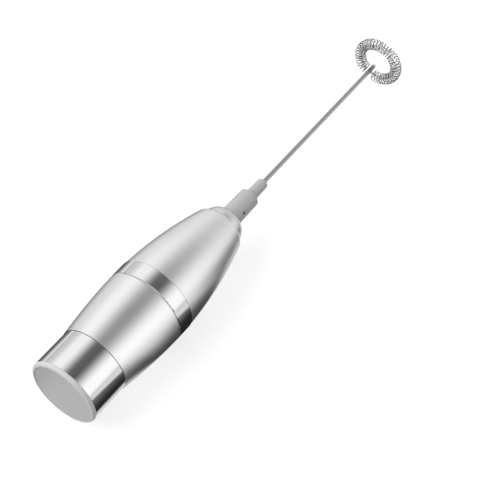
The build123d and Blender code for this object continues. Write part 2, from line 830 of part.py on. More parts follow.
def coil_leg(share, side):
    """Foot on the wire ring, bend point and inward direction of a coil's end."""
    turn = COIL_START + (COIL_END - COIL_START) * share
    outward = coil_way(turn, 360 * COIL_TURNS * share + side * COIL_LEG_PHASE)
    centre = ring_point(turn)
    foot = centre + outward * (WIRE_RADIUS - COIL_LEG_BITE)
    bend = centre + outward * (WIRE_RADIUS + COIL_LEG_BEND)
    return foot, bend, outward * -1


def whisk_coil():
    """Fine coil wound round the wire ring, half a turn at a time, its ends bent in to the ring."""
    foot, bend, inward = coil_leg(0, -1)
    edges = [Edge.make_line(foot, bend)]
    edges += biarc(bend, inward * -1, coil_point(0), coil_tangent(0))
    halves = 2 * COIL_TURNS
    for i in range(halves):
        a, b = i / halves, (i + 1) / halves
        edges += biarc(coil_point(a), coil_tangent(a), coil_point(b), coil_tangent(b))
    foot, bend, inward = coil_leg(1, 1)
    edges += biarc(coil_point(1), coil_tangent(1), bend, inward)
    edges.append(Edge.make_line(bend, foot))
    tightest = min(edge.radius for edge in edges if edge.geom_type == GeomType.CIRCLE)
    print("whisk coil least gap", round(least_gap(edges, COIL_WIRE), 3), "tightest", round(tightest, 2))
    return wire_along(edges, COIL_WIRE / 2)


PIECES = [
    end_button,
    end_rim,
    button_clip,
    bridge_contact,
    button_spring,
    end_collar,
    rear_shell,
    battery_chassis,
    battery_left,
    battery_right,
    positive_contact,
    negative_contact,
    battery_spring,
    cover_seal,
    mid_band,
    front_shell,
    nose_bezel,
    nose_bush,
    shaft_seal,
    chassis_screws,
    motor_screws,
    motor_cup,
    motor_can,
    motor_end_cap,
    motor_terminals,
    motor_brushes,
    motor_magnets,
    front_bearing,
    rear_bearing,
    motor_shaft,
    commutator,
    armature,
    armature_windings,
    lead_positive,
    lead_negative,
    drive_spindle,
    drive_pin,
    whisk_coupling,
    whisk_wire,
    whisk_coil,
]

os.makedirs("parts", exist_ok=True)
for piece in PIECES:
    shape = piece()
    if isinstance(shape, list):
        shape = Compound(children=shape)
    export_step(shape, f"parts/{piece.__name__}.step")
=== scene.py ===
# %% [markdown]
# # A battery milk frother in Blender
# The frother lies along the X axis, with the middle of its push button's face at the origin.
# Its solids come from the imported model, which stays fixed. This script gives them their looks: it
# rebuilds the pieces that show as smooth turned and wound meshes, mixes a finish for every material,
# and sets up a small studio with the photograph's camera.

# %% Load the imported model
import math
import bmesh
import bpy
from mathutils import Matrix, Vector


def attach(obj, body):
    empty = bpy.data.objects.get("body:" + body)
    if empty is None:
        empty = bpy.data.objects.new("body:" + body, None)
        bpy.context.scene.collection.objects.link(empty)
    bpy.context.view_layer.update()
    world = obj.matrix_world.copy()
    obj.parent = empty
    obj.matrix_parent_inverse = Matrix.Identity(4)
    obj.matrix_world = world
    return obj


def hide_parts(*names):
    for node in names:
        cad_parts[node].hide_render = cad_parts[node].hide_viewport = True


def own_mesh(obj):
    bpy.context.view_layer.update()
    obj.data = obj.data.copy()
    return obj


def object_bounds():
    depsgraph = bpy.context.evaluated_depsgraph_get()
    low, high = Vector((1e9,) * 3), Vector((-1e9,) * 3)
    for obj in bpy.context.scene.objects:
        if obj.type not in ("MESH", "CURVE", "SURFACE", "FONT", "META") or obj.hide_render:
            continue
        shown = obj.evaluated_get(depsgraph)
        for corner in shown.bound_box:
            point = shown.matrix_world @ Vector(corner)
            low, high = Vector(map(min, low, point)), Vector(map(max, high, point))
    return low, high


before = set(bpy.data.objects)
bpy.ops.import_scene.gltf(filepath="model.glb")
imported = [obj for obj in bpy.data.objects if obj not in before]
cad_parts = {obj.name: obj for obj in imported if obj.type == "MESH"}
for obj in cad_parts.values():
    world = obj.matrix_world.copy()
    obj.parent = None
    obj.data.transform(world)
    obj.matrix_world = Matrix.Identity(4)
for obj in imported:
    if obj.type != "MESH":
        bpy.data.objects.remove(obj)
cad_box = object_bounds()
MM = 0.001
print("nodes", len(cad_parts), "box in mm", [round(side / MM, 1) for side in cad_box[1] - cad_box[0]])

# %% [markdown]
# ## Camera
# The photograph looks down on the tail end at about 51 degrees, with a long lens. A camera that is aimed
# from one point at another has no roll, so its place, its aim and its lens are all that it needs.

# %% Camera
CAMERA_PLACE = Vector((-0.1915, -0.2255, 0.4426))
CAMERA_AIM = Vector((0.0998, -0.0172, 0.0))
CAMERA_LENS = 98.46
SENSOR_WIDTH = 36.0
CLIP_START = 0.01

camera = bpy.data.objects.new("camera", bpy.data.cameras.new("camera"))
camera.data.lens = CAMERA_LENS
camera.data.sensor_width = SENSOR_WIDTH
camera.data.clip_start = CLIP_START
camera.location = CAMERA_PLACE
camera.rotation_euler = (CAMERA_AIM - CAMERA_PLACE).to_track_quat("-Z", "Y").to_euler()
bpy.context.scene.collection.objects.link(camera)
bpy.context.scene.camera = camera
bpy.context.scene.view_settings.view_transform = "Standard"
print("camera", round((CAMERA_AIM - CAMERA_PLACE).length, 3), "m from its aim")

# %% [markdown]
# ## Colours and nodes
# Colours are written as sRGB hex values, as a picker shows them, and shaders work in linear light, so one
# function turns the first into the second. A second one adds a shader node, sets its properties, feeds its
# inputs and, for a ramp, places its stops. A pattern's scale is one over the size of what it draws, so a third
# turns a real size in millimetres into a scale.


# %% Colour and node helpers
def linear(hex_colour):
    """Linear colour of an sRGB hex value."""
    shares = [int(hex_colour[i : i + 2], 16) / 255 for i in (1, 3, 5)]
    return [s / 12.92 if s <= 0.04045 else ((s + 0.055) / 1.055) ** 2.4 for s in shares] + [1.0]


def node(tree, kind, inputs=None, stops=(), **settings):
    """Add a node, with its settings, with values or links for its inputs, and with a ramp's grey stops."""
    made = tree.nodes.new(kind)
    for name, value in settings.items():
        setattr(made, name, value)
    if stops:
        made.color_ramp.interpolation = "EASE"
    for i, (place, grey) in enumerate(stops):
        stop = made.color_ramp.elements[i] if i < 2 else made.color_ramp.elements.new(place)
        stop.position = place
        stop.color = (grey, grey, grey, 1)
    for name, value in (inputs or {}).items():
        if isinstance(value, bpy.types.NodeSocket):
            tree.links.new(value, made.inputs[name])
        else:
            made.inputs[name].default_value = value
    return made


def scale_of(size_mm):
    """Scale of a pattern whose features have that size."""
    return 1 / (size_mm * MM)


def new_finish(name):
    """A fresh material, its node tree and its shader."""
    finish = bpy.data.materials.new(name)
    finish.use_nodes = True
    return finish, finish.node_tree, finish.node_tree.nodes["Principled BSDF"]


# %% [markdown]
# ## Satin aluminium of the sleeves
# The two halves of the barrel are aluminium sleeves with a blasted satin surface. It mirrors the room, but
# every grain tilts a little, so each light spreads into a soft band. Blasting never comes out quite even:
# the roughness wanders over a few millimetres, and the grains show as the finest of bumps. The real grit
# is about 0.05 mm, and it is drawn at 0.5 mm here, so that it still shows at this distance.

# %% Satin aluminium
SATIN_GRIT = 0.5
SATIN_CLOUD = 14.0

satin_aluminium, tree, shader = new_finish("satin_blasted_aluminium")
place = node(tree, "ShaderNodeTexCoord").outputs["Object"]
grit = node(tree, "ShaderNodeTexNoise", {"Vector": place, "Scale": scale_of(SATIN_GRIT), "Detail": 2.0})
cloud = node(tree, "ShaderNodeTexNoise", {"Vector": place, "Scale": scale_of(SATIN_CLOUD), "Detail": 3.0})
uneven = node(tree, "ShaderNodeMath", {0: grit.outputs["Fac"], 1: cloud.outputs["Fac"]}, operation="ADD")
rough = node(tree, "ShaderNodeMapRange", {"Value": uneven.outputs[0], "From Min": 0.6, "From Max": 1.4,
                                          "To Min": 0.36, "To Max": 0.42})
tint = node(tree, "ShaderNodeMix", {"Factor": cloud.outputs["Fac"], "A": linear("#d7d7d7"), "B": linear("#dcdcdc")},
            data_type="RGBA")
bump = node(tree, "ShaderNodeBump", {"Height": grit.outputs["Fac"], "Strength": 0.12, "Distance": 0.02 * MM})
tree.links.new(tint.outputs[2], shader.inputs["Base Color"])
tree.links.new(rough.outputs[0], shader.inputs["Roughness"])
tree.links.new(bump.outputs[0], shader.inputs["Normal"])
shader.inputs["Metallic"].default_value = 1.0
print("finish", satin_aluminium.name)

# %% [markdown]
# ## Polished chrome of the collar and the band
# Chrome plate is a near mirror with a trace of polishing haze. The haze runs round the piece, as the
# polishing wheel did, so the noise that varies the roughness is stretched: fine along the axis, long
# across it.

# %% Polished chrome
CHROME_HAZE = 1.2
CHROME_STRETCH = 12.0

chrome, tree, shader = new_finish("polished_chrome")
place = node(tree, "ShaderNodeTexCoord").outputs["Object"]
rings = node(tree, "ShaderNodeMapping", {"Vector": place, "Scale": (1.0, 1 / CHROME_STRETCH, 1 / CHROME_STRETCH)})
haze = node(tree, "ShaderNodeTexNoise", {"Vector": rings.outputs[0], "Scale": scale_of(CHROME_HAZE), "Detail": 4.0})
rough = node(tree, "ShaderNodeMapRange", {"Value": haze.outputs["Fac"], "From Min": 0.3, "From Max": 0.7,
                                          "To Min": 0.07, "To Max": 0.12})
tint = node(tree, "ShaderNodeMix", {"Factor": haze.outputs["Fac"], "A": linear("#c6c6c6"), "B": linear("#cccccc")},
            data_type="RGBA")
tree.links.new(tint.outputs[2], shader.inputs["Base Color"])
tree.links.new(rough.outputs[0], shader.inputs["Roughness"])
shader.inputs["Metallic"].default_value = 1.0
print("finish", chrome.name)

# %% [markdown]
# ## Grey moulded plastic of the button, its rim and the coupling
# All three are ABS in a light grey. The mould was spark eroded, which leaves a fine pebbled skin: it breaks the
# gloss into a soft sheen. The pebbles are about 0.1 mm on the real part, and are drawn at 0.4 mm to show. The rim
# is painted a shade paler, as painted light: its round edge catches more light than the face. It is told from the
# rest by its distance from the axis.

# %% Grey ABS
PEBBLE = 0.4
ABS_CLOUD = 9.0
# distance from the axis beyond which the rim gets its painted light, in mm
PAINTED_RIM_LIGHT_FROM = 13.95

grey_abs, tree, shader = new_finish("grey_moulded_abs")
place = node(tree, "ShaderNodeTexCoord").outputs["Object"]
pebble = node(tree, "ShaderNodeTexVoronoi", {"Vector": place, "Scale": scale_of(PEBBLE)}, feature="SMOOTH_F1")
cloud = node(tree, "ShaderNodeTexNoise", {"Vector": place, "Scale": scale_of(ABS_CLOUD), "Detail": 3.0})
tint = node(tree, "ShaderNodeMix", {"Factor": cloud.outputs["Fac"], "A": linear("#b9b9b9"), "B": linear("#bebebe")},
            data_type="RGBA")
across = node(tree, "ShaderNodeVectorMath", {0: place, 1: (0, 1, 1)}, operation="MULTIPLY")
reach = node(tree, "ShaderNodeVectorMath", {0: across.outputs[0]}, operation="LENGTH")
# painted light: the rim beyond this distance from the axis is painted paler than the button's face
rim_painted_light = node(tree, "ShaderNodeMath", {0: reach.outputs["Value"], 1: PAINTED_RIM_LIGHT_FROM * MM}, operation="GREATER_THAN")
tint = node(tree, "ShaderNodeMix", {"Factor": rim_painted_light.outputs[0], "A": tint.outputs[2], "B": linear("#cfcfcf")},
            data_type="RGBA")
rough = node(tree, "ShaderNodeMapRange", {"Value": pebble.outputs["Distance"], "From Max": 0.6,
                                          "To Min": 0.38, "To Max": 0.52})
bump = node(tree, "ShaderNodeBump", {"Height": pebble.outputs["Distance"], "Strength": 0.15, "Distance": 0.02 * MM})
tree.links.new(tint.outputs[2], shader.inputs["Base Color"])
tree.links.new(rough.outputs[0], shader.inputs["Roughness"])
tree.links.new(bump.outputs[0], shader.inputs["Normal"])
shader.inputs["IOR"].default_value = 1.54
print("finish", grey_abs.name)

# %% [markdown]
# ## Brushed aluminium of the nose bezel
# The small dome at the nose is brushed on a lathe, which leaves it a little darker than the sleeves. The brush
# leaves fine rings, which are noise squeezed along the axis. Real rings are about 0.04 mm apart, and are drawn
# at 0.25 mm.

# %% Brushed aluminium
BRUSH_RING = 0.25
BRUSH_STRETCH = 20.0

brushed_aluminium, tree, shader = new_finish("lathe_brushed_aluminium")
place = node(tree, "ShaderNodeTexCoord").outputs["Object"]
rings = node(tree, "ShaderNodeMapping", {"Vector": place, "Scale": (1.0, 1 / BRUSH_STRETCH, 1 / BRUSH_STRETCH)})
brush = node(tree, "ShaderNodeTexNoise", {"Vector": rings.outputs[0], "Scale": scale_of(BRUSH_RING), "Detail": 2.0})
rough = node(tree, "ShaderNodeMapRange", {"Value": brush.outputs["Fac"], "From Min": 0.3, "From Max": 0.7,
                                          "To Min": 0.38, "To Max": 0.46})
tint = node(tree, "ShaderNodeMix", {"Factor": brush.outputs["Fac"], "A": linear("#c9c9c9"), "B": linear("#d2d2d2")},
            data_type="RGBA")
bump = node(tree, "ShaderNodeBump", {"Height": brush.outputs["Fac"], "Strength": 0.08, "Distance": 0.01 * MM})
tree.links.new(tint.outputs[2], shader.inputs["Base Color"])
tree.links.new(rough.outputs[0], shader.inputs["Roughness"])
tree.links.new(bump.outputs[0], shader.inputs["Normal"])
shader.inputs["Metallic"].default_value = 1.0
print("finish", brushed_aluminium.name)

# %% [markdown]
# ## Drawn stainless wire of the whisk
# The shaft and the ring are one stainless wire that was pulled through a die. Drawing leaves streaks along the wire,
# so the noise is stretched along the shaft. The shaft is duller than the chrome. The ring is painted bright, as
# painted light against the shade that the coil casts on it: the tint changes with the distance from the axis,
# somewhere along the spoke.

# %% Drawn wire
WIRE_STREAK = 0.3
WIRE_STRETCH = 15.0
# where along the spoke the ring's painted light begins and is full, in mm
RING_PAINTED_LIGHT_FROM, RING_PAINTED_LIGHT_TO = 6.0, 8.5

drawn_wire, tree, shader = new_finish("drawn_stainless_wire")
place = node(tree, "ShaderNodeTexCoord").outputs["Object"]
along = node(tree, "ShaderNodeMapping", {"Vector": place, "Scale": (1 / WIRE_STRETCH, 1.0, 1.0)})
streak = node(tree, "ShaderNodeTexNoise", {"Vector": along.outputs[0], "Scale": scale_of(WIRE_STREAK), "Detail": 2.0})
rough = node(tree, "ShaderNodeMapRange", {"Value": streak.outputs["Fac"], "From Min": 0.3, "From Max": 0.7,
                                          "To Min": 0.18, "To Max": 0.3})
dull = node(tree, "ShaderNodeMix", {"Factor": streak.outputs["Fac"], "A": linear("#989898"), "B": linear("#a4a4a4")},
            data_type="RGBA")
across = node(tree, "ShaderNodeVectorMath", {0: place, 1: (0, 1, 1)}, operation="MULTIPLY")
reach = node(tree, "ShaderNodeVectorMath", {0: across.outputs[0]}, operation="LENGTH")
# painted light: the ring, which the coil shades, is painted brighter
ring_painted_light = node(tree, "ShaderNodeMapRange", {"Value": reach.outputs["Value"], "From Min": RING_PAINTED_LIGHT_FROM * MM,
                                           "From Max": RING_PAINTED_LIGHT_TO * MM})
tint = node(tree, "ShaderNodeMix", {"Factor": ring_painted_light.outputs[0], "A": dull.outputs[2], "B": linear("#f0f0f0")},
            data_type="RGBA")
tree.links.new(tint.outputs[2], shader.inputs["Base Color"])
tree.links.new(rough.outputs[0], shader.inputs["Roughness"])
shader.inputs["Metallic"].default_value = 1.0
print("finish", drawn_wire.name)

# %% [markdown]
# ## Cells in shrunk film
# A cell is a steel can in a blue film that is shrunk over its rims. Whatever is nearer to the cell's own axis than
# the film's edge is bare steel: the flat end and the raised contact. The two cells lie side by side at the same
# distance from the frother's axis, so one material serves both.

# %% Cell film
CELL_OFFSET = 7.25
FILM_EDGE = 6.0
FILM_WRINKLE = 3.0

cell_film, tree, shader = new_finish("cell_in_shrunk_film")
place = node(tree, "ShaderNodeTexCoord").outputs["Object"]
wrinkle = node(tree, "ShaderNodeTexNoise", {"Vector": place, "Scale": scale_of(FILM_WRINKLE), "Detail": 3.0})
film = node(tree, "ShaderNodeMix", {"Factor": wrinkle.outputs["Fac"], "A": linear("#3f5a6e"), "B": linear("#466277")},
            data_type="RGBA")
aside = node(tree, "ShaderNodeVectorMath", {0: place}, operation="ABSOLUTE")
aside = node(tree, "ShaderNodeVectorMath", {0: aside.outputs[0], 1: (0, CELL_OFFSET * MM, 0)}, operation="SUBTRACT")
across = node(tree, "ShaderNodeVectorMath", {0: aside.outputs[0], 1: (0, 1, 1)}, operation="MULTIPLY")
reach = node(tree, "ShaderNodeVectorMath", {0: across.outputs[0]}, operation="LENGTH")
bare = node(tree, "ShaderNodeMath", {0: reach.outputs["Value"], 1: FILM_EDGE * MM}, operation="LESS_THAN")
tint = node(tree, "ShaderNodeMix", {"Factor": bare.outputs[0], "A": film.outputs[2], "B": linear("#bdbebf")},
            data_type="RGBA")
rough = node(tree, "ShaderNodeMapRange", {"Value": wrinkle.outputs["Fac"], "To Min": 0.25, "To Max": 0.36})
bump = node(tree, "ShaderNodeBump", {"Height": wrinkle.outputs["Fac"], "Strength": 0.3, "Distance": 0.01 * MM})
tree.links.new(tint.outputs[2], shader.inputs["Base Color"])
tree.links.new(rough.outputs[0], shader.inputs["Roughness"])
tree.links.new(bump.outputs[0], shader.inputs["Normal"])
tree.links.new(bare.outputs[0], shader.inputs["Metallic"])
print("finish", cell_film.name)

# %% [markdown]
# ## Finishes of the springs and of the works inside
# The works come to light when the battery cover is pulled off or the whisk is drawn from its spindle. Each
# material needs its own colour, gloss and grain, but the recipe is the same: a noise of the right size wanders
# between two colours and two roughnesses and lifts a slight bump. Noise keeps to the middle of its range, so that
# span is stretched over the whole way between the two colours. A table holds what differs. The two greys of the
# spring wire are far apart: its plating is dark and bright in patches, which tells the whisk's turns apart.

# %% Inner finishes
GRAIN_SPAN = (0.35, 0.65)
INNER_FINISHES = {
    # slot: name, two colours, metallic, two roughnesses, grain in mm, bump in mm
    "chassis_plastic": ("moulded_dark_abs", "#2e2f31", "#37383a", 0.0, 0.42, 0.55, 0.5, 0.02),
    "spring_steel": ("plated_spring_wire", "#333333", "#c8c8c8", 1.0, 0.1, 0.18, 2.0, 0.004),
    "contact_strip": ("nickel_plated_strip", "#c3bfb4", "#d0ccc2", 1.0, 0.22, 0.34, 0.8, 0.004),
    "black_rubber": ("moulded_rubber", "#1c1c1d", "#262627", 0.0, 0.6, 0.75, 0.3, 0.02),
    "machined_steel": ("turned_steel", "#b3b4b6", "#c4c5c6", 1.0, 0.2, 0.32, 0.3, 0.005),
    "motor_steel": ("zinc_plated_steel", "#aeb0b1", "#c2c3c3", 1.0, 0.3, 0.44, 2.0, 0.004),
    "magnet": ("sintered_ferrite", "#2f3033", "#3d3e40", 0.0, 0.55, 0.7, 0.2, 0.02),
    "moulded_black": ("moulded_black_nylon", "#1f2022", "#2a2b2d", 0.0, 0.4, 0.55, 0.4, 0.02),
    "bearing_bronze": ("oiled_bronze", "#9c7a45", "#b08c54", 1.0, 0.3, 0.45, 0.2, 0.01),
    "copper": ("enamelled_copper", "#a8572c", "#bd6a3a", 1.0, 0.2, 0.32, 0.3, 0.02),
    "red_sleeve": ("red_cable_sleeve", "#a3201f", "#b42c29", 0.0, 0.35, 0.48, 0.6, 0.01),
    "black_sleeve": ("black_cable_sleeve", "#1d1d1f", "#28282a", 0.0, 0.35, 0.48, 0.6, 0.01),
}

finishes = {
    "satin_metal": satin_aluminium,
    "chrome": chrome,
    "grey_plastic": grey_abs,
    "bezel_metal": brushed_aluminium,
    "stainless_wire": drawn_wire,
    "cell_jacket": cell_film,
}
for slot, (name, dark, light, metallic, low, high, grain_mm, bump_mm) in INNER_FINISHES.items():
    finishes[slot], tree, shader = new_finish(name)
    place = node(tree, "ShaderNodeTexCoord").outputs["Object"]
    grain = node(tree, "ShaderNodeTexNoise", {"Vector": place, "Scale": scale_of(grain_mm), "Detail": 3.0})
    share = node(tree, "ShaderNodeMapRange", {"Value": grain.outputs["Fac"], "From Min": GRAIN_SPAN[0],
                                              "From Max": GRAIN_SPAN[1]})
    tint = node(tree, "ShaderNodeMix", {"Factor": share.outputs[0], "A": linear(dark), "B": linear(light)},
                data_type="RGBA")
    rough = node(tree, "ShaderNodeMapRange", {"Value": share.outputs[0], "To Min": low, "To Max": high})
    bump = node(tree, "ShaderNodeBump", {"Height": grain.outputs["Fac"], "Strength": 0.3, "Distance": bump_mm * MM})
    tree.links.new(tint.outputs[2], shader.inputs["Base Color"])
    tree.links.new(rough.outputs[0], shader.inputs["Roughness"])
    tree.links.new(bump.outputs[0], shader.inputs["Normal"])
    shader.inputs["Metallic"].default_value = metallic

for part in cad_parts.values():
    for holder in part.material_slots:
        holder.material = finishes[holder.material.name.split(".")[0]]
print("finishes", len(finishes), "on", len(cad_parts), "nodes")

# %% [markdown]
# ## Turned pieces
# Every piece of the handle that shows is round, so each is made as a lathe would: an outline in x and radius
# is spun about the axis. A pen draws the outline from corner to corner, by extruding a vertex for a straight run and
# spinning it about a centre for a bowed one. After the spin, the rims of the corners that are rounded on the real
# piece are bevelled, since only a rounded rim catches a line of light. A weighted normal modifier keeps the long
# faces beside those small rounds evenly shaded.

# %% Lathe
TURN_STEPS = 192
BOW_STEPS = 24
ROUND_STEPS = 4
NEAR = 0.002 * MM
WELD = 0.0002 * MM


def draw_outline(bm, corners):
    """Draw (x, radius, round) corners in mm; two more numbers bow the run to a corner about that centre."""
    pen = None
    for x, radius, _, *centre in corners:
        target = Vector((x, radius, 0)) * MM
        if pen is None:
            pen = bm.verts.new(target)
        elif centre:
            middle = Vector((*centre, 0)) * MM
            sweep = (pen.co - middle).to_2d().angle_signed((target - middle).to_2d())
            bowed = bmesh.ops.spin(bm, geom=[pen], cent=middle, axis=(0, 0, 1), angle=-sweep, steps=BOW_STEPS)
            pen = next(v for v in bowed["geom_last"] if isinstance(v, bmesh.types.BMVert))
        else:
            pen = bmesh.ops.extrude_vert_indiv(bm, verts=[pen])["verts"][0]
            pen.co = target
    return pen


def turned(name, body, slot, node_name, corners, closed=True):
    """A turned piece that stands for a node: its outline, spun about the axis, with rounded rims."""
    bm = bmesh.new()
    last = draw_outline(bm, corners)
    if closed:
        bm.verts.ensure_lookup_table()
        bm.edges.new((last, bm.verts[0]))
    bmesh.ops.spin(bm, geom=bm.verts[:] + bm.edges[:], cent=(0, 0, 0), axis=(1, 0, 0), angle=math.tau,
                   steps=TURN_STEPS, use_merge=True)
    bmesh.ops.remove_doubles(bm, verts=bm.verts, dist=WELD)
    bmesh.ops.recalc_face_normals(bm, faces=bm.faces)
    for x, radius, rounding, *_ in corners:
        if rounding:
            rim = [e for e in bm.edges if all(abs(v.co.x - x * MM) < NEAR and abs(v.co.yz.length - radius * MM) < NEAR
                                              for v in e.verts)]
            bmesh.ops.bevel(bm, geom=rim, offset=rounding * MM, affect="EDGES", segments=ROUND_STEPS, profile=0.5,
                            material=-1, clamp_overlap=True)
    return add_piece(name, bm, body, slot, node_name)


def add_piece(name, bm, body, slot, *node_names):
    """Turn a bmesh into a shaded piece that rides on a body and stands for nodes."""
    mesh = bpy.data.meshes.new(name)
    for face in bm.faces:
        face.smooth = True
    bm.to_mesh(mesh)
    bm.free()
    mesh.materials.append(finishes[slot])
    piece = bpy.data.objects.new(name, mesh)
    bpy.context.scene.collection.objects.link(piece)
    even = piece.modifiers.new("even_shading", "WEIGHTED_NORMAL")
    even.keep_sharp = True
    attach(piece, body)
    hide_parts(*node_names)
    print(name, len(mesh.polygons), "faces")
    return piece


# %% [markdown]
# ## Tail: push button, rim and chromed collar
# The button is a flat moulded cap that slides in a fixed rim of the same plastic. Its outline starts and ends on the
# axis, so it spins to a closed body: face, skirt, and a stem with the groove of its clip. The skirt stays a hair
# clear of the collar's partition when the button is pressed. The rim's outside is one bowed run, a quarter round
# that stands a hair proud of the face and ends flush with the collar. The collar is a chromed tube with a partition
# that guides the stem, and a spigot that the rear sleeve is pushed on.

# %% Tail pieces
METAL_ROUND = 0.3
INNER_ROUND = 0.1
FINE_ROUND = 0.05
BUTTON_ROUND = 0.15
BUTTON_RADIUS = 13.9
BUTTON_FLOOR = 2.0
SKIRT_END = 5.95
STEM_RADIUS = 3.0
PARTITION_FROM, PARTITION_TO = 7.5, 9.0
RIM_BOW = (1.38, 14.15)
RIM_END = 1.5
COLLAR_RADIUS = 15.65
COLLAR_END = 19.15
SPIGOT_END = 26.0
SEAM = 0.15

turned("button_cap", "button", "grey_plastic", "end_button", [
    (0.0, 0.0, 0), (0.0, BUTTON_RADIUS, BUTTON_ROUND), (SKIRT_END, BUTTON_RADIUS, INNER_ROUND), (SKIRT_END, 12.5, 0),
    (BUTTON_FLOOR, 12.5, 0), (BUTTON_FLOOR, STEM_RADIUS, 0), (9.05, STEM_RADIUS, 0), (9.05, 2.2, 0), (9.65, 2.2, 0),
    (9.65, STEM_RADIUS, 0), (10.4, STEM_RADIUS, 0), (10.4, 1.6, 0), (11.2, 1.6, INNER_ROUND), (11.2, 0.0, 0),
], closed=False)
turned("tail_rim", "battery_cover", "grey_plastic", "end_rim", [
    (6.0, 14.0, 0), (-0.112, 14.0, FINE_ROUND), (1.38, COLLAR_RADIUS, 0, *RIM_BOW),
    (RIM_END, COLLAR_RADIUS, FINE_ROUND), (RIM_END, 15.3, 0), (6.0, 15.3, 0),
])
turned("tail_collar", "battery_cover", "chrome", "end_collar", [
    (RIM_END, 15.35, FINE_ROUND), (RIM_END, COLLAR_RADIUS, INNER_ROUND), (COLLAR_END, COLLAR_RADIUS, INNER_ROUND),
    (COLLAR_END, 15.08, 0), (SPIGOT_END, 15.08, INNER_ROUND), (SPIGOT_END, 14.6, INNER_ROUND),
    (PARTITION_TO, 14.6, 0), (PARTITION_TO, 3.2, INNER_ROUND), (PARTITION_FROM, 3.2, INNER_ROUND),
    (PARTITION_FROM, 15.35, 0),
])

# %% [markdown]
# ## Barrel: two satin sleeves and the chromed band
# The barrel swells and tapers in two long arcs, one from the tail to the band and a tighter one from the band to the
# nose. Each sleeve's outer run is bowed about the centre of its arc, so the curve is the drawing's own and not a
# copy of it. Inside, each follows its wall: the rear sleeve is the battery cover, and its bore shows when
# it is pulled off. A narrow seam parts it from the collar, and the band's edge beside it is well rounded, so that
# both joints draw a fine line round the barrel.

# %% Barrel pieces
BARREL_RADIUS = 18.4
REAR_BOW = (56.0, BARREL_RADIUS - 270.0)
FRONT_BOW = (50.0, BARREL_RADIUS - 190.0)
FRONT_WALL = 1.4
SLEEVE_END = 50.25
BAND_FROM, BAND_TO = 50.3, 58.5
BAND_ROUND = 0.5
BAND_BORE = 16.8
WALL_FROM = 70.0
NOSE_END = 102.2
NOSE_STEP = 99.6
NOSE_BORE = 8.4
NOSE_ROUND = 1.8


def bow_radius(x, bow):
    """Radius of the barrel at a station, on the arc about that centre."""
    return bow[1] + math.sqrt((BARREL_RADIUS - bow[1]) ** 2 - (x - bow[0]) ** 2)


def inner_radius(x):
    """Radius of the front sleeve's inner wall at a station."""
    return bow_radius(x, FRONT_BOW) - FRONT_WALL


turned("rear_sleeve", "battery_cover", "satin_metal", "rear_shell", [
    (COLLAR_END + SEAM, bow_radius(COLLAR_END + SEAM, REAR_BOW), FINE_ROUND),
    (SLEEVE_END, bow_radius(SLEEVE_END, REAR_BOW), INNER_ROUND, *REAR_BOW),
    (SLEEVE_END, 16.95, INNER_ROUND), (42.0, 16.95, 0), (SPIGOT_END, 15.1, 0), (COLLAR_END + SEAM, 15.1, 0),
])
turned("chrome_band", "handle", "chrome", "mid_band", [
    (BAND_FROM, bow_radius(BAND_FROM, REAR_BOW), BAND_ROUND),
    (BAND_TO, bow_radius(BAND_TO, REAR_BOW), METAL_ROUND, *REAR_BOW),
    (BAND_TO, BAND_BORE, 0), (BAND_FROM, BAND_BORE, 0),
])
turned("front_sleeve", "handle", "satin_metal", "front_shell", [
    (BAND_TO, bow_radius(BAND_TO, FRONT_BOW), METAL_ROUND),
    (NOSE_END, bow_radius(NOSE_END, FRONT_BOW), NOSE_ROUND, *FRONT_BOW),
    (NOSE_END, NOSE_BORE, INNER_ROUND), (NOSE_STEP, NOSE_BORE, 0), (NOSE_STEP, inner_radius(NOSE_STEP), 0),
    (WALL_FROM, inner_radius(WALL_FROM), 0, FRONT_BOW[0], FRONT_BOW[1] - FRONT_WALL),
    (68.0, inner_radius(WALL_FROM), 0), (68.0, BAND_BORE, 0), (BAND_TO, BAND_BORE, 0),
])

# %% [markdown]
# ## Nose: domed bezel
# A small brushed dome closes the nose round the drive spindle. Its crown is one more bowed run, and its spigot
# sits in the front sleeve's opening. Its foot is a slight cone: an upright foot would mirror the dark gap over the
# handle as a smudge.

# %% Nose piece
DOME_BOW = (102.8375, 3.0367)
DOME_END = 108.0
DOME_BORE = 4.0

turned("nose_dome", "handle", "bezel_metal", "nose_bezel", [
    (NOSE_END, 9.5, INNER_ROUND), (104.2, 9.2186, 0), (DOME_END, 6.7, INNER_ROUND, *DOME_BOW),
    (DOME_END, DOME_BORE, INNER_ROUND), (NOSE_STEP, DOME_BORE, 0), (NOSE_STEP, NOSE_BORE, 0),
    (NOSE_END, NOSE_BORE, 0),
])

# %% [markdown]
# ## Whisk: bent wire and wound coil
# The whisk's shaft, spoke and ring are one bent wire, and a fine coil is wound on the ring. A wire is a path with
# thickness, which is what a curve with a bevel gives. The path is a few knots, each a point and a direction, and
# the Bezier handles between two knots have the length that makes a circular arc of the turn between them.
# Straight runs come out straight. The finished curve is made a mesh, so that its place is in its points.

# %% Wire from knots
WIRE_ROUNDNESS = 4
STRAIGHT = 1e-4
STEP = 1e-5


def knots_along(point_at, count):
    """Knots at even steps along a path that runs from 0 to 1, each with the path's direction there."""
    shares = [i / count for i in range(count + 1)]
    return [(point_at(share), (point_at(share + STEP) - point_at(share - STEP)).normalized()) for share in shares]


